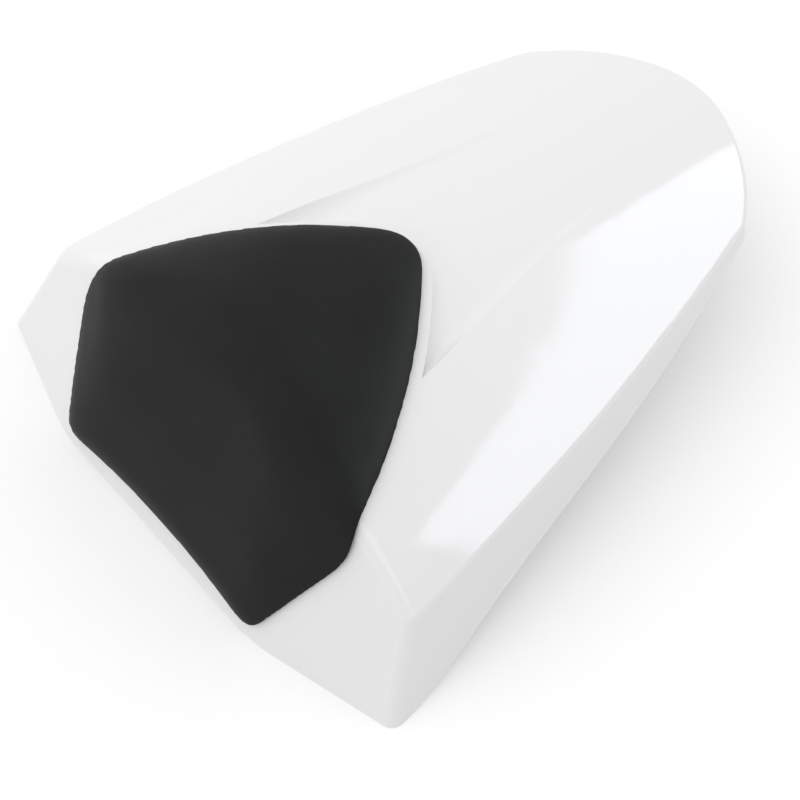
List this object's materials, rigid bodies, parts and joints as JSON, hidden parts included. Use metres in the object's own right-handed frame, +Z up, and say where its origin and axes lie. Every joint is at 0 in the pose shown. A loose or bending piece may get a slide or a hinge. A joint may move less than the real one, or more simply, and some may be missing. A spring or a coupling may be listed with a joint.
{
  "type": "motorcycle rear seat cowl",
  "caption": "Moulded tail fairing that takes the place of a motorcycle's pillion seat, with a soft backrest pad, an inner tray, hook tongues and a latch striker.",
  "frame": {"origin": "middle of the footprint, on the surface that the lower front edge and the striker rest on", "axes": "+X to the right across the width, +Y to the tail, +Z up; the rider's side is at -Y"},
  "size_m": [0.2796, 0.3366, 0.0939],
  "materials": {
    "shell_plastic": "gloss white moulded shell",
    "pad_skin": "matte black soft skin over foam",
    "tray_plastic": "black as moulded",
    "black_steel": "black oxide",
    "zinc_steel": "zinc plated",
    "bumper_rubber": "moulded rubber"
  },
  "bodies": {
    "root": {"cowl_shell": "shell_plastic", "backrest_pad": "pad_skin", "base_tray": "tray_plastic", "tray_screws": "black_steel", "striker_bracket": "zinc_steel", "bracket_screws": "black_steel", "latch_striker": "zinc_steel", "striker_nuts": "zinc_steel", "front_tongue_right": "zinc_steel", "front_tongue_left": "zinc_steel", "tongue_screws": "black_steel", "bumper_front_right": "bumper_rubber", "bumper_front_left": "bumper_rubber", "bumper_rear_right": "bumper_rubber", "bumper_rear_left": "bumper_rubber"}
  },
  "joints": []
}
